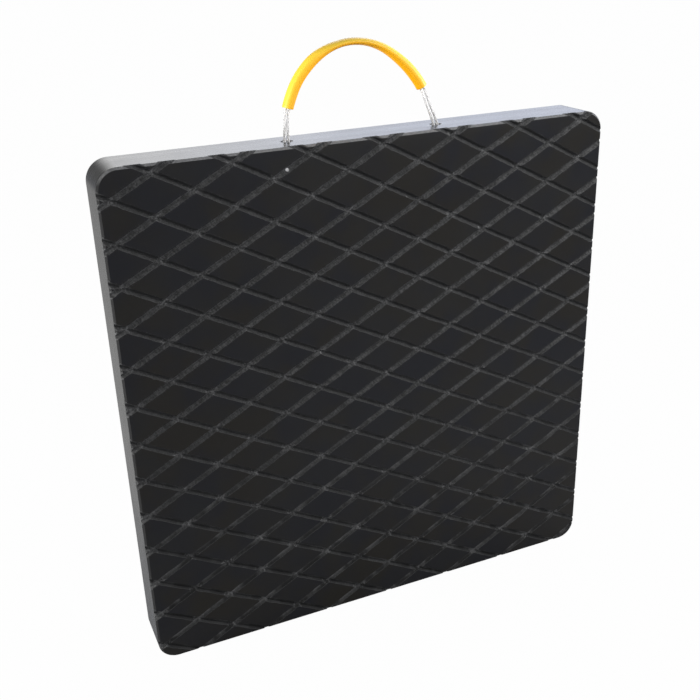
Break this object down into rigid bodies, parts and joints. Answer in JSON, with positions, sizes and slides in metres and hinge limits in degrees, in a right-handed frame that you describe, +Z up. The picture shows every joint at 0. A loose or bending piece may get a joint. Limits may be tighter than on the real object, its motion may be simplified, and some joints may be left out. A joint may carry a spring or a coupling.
{
  "type": "crane outrigger pad",
  "caption": "Square black plastic outrigger pad with crossing diamond grooves on its bearing face, chamfered edges and a wire rope carrying handle sleeved in yellow hose.",
  "frame": {"origin": "middle of the lower edge that the pad stands on", "axes": "+Z up towards the handle, +Y from the grooved face to the plain back face, +X to the right seen from the grooved face"},
  "size_m": [0.5, 0.05, 0.5837],
  "materials": {
    "pad_plastic": "black polyethylene, milled edges and grooves",
    "rope_steel": "galvanised stranded wire",
    "ferrule_aluminium": "crimped, dull",
    "hose_yellow": "soft glossy hose",
    "pin_steel": "ground dowel"
  },
  "bodies": {
    "root": {"pad_plate": "pad_plastic", "wire_rope": "rope_steel", "rope_ferrule": "ferrule_aluminium", "grip_hose": "hose_yellow", "anchor_pin_left": "pin_steel", "anchor_pin_right": "pin_steel"}
  },
  "joints": []
}
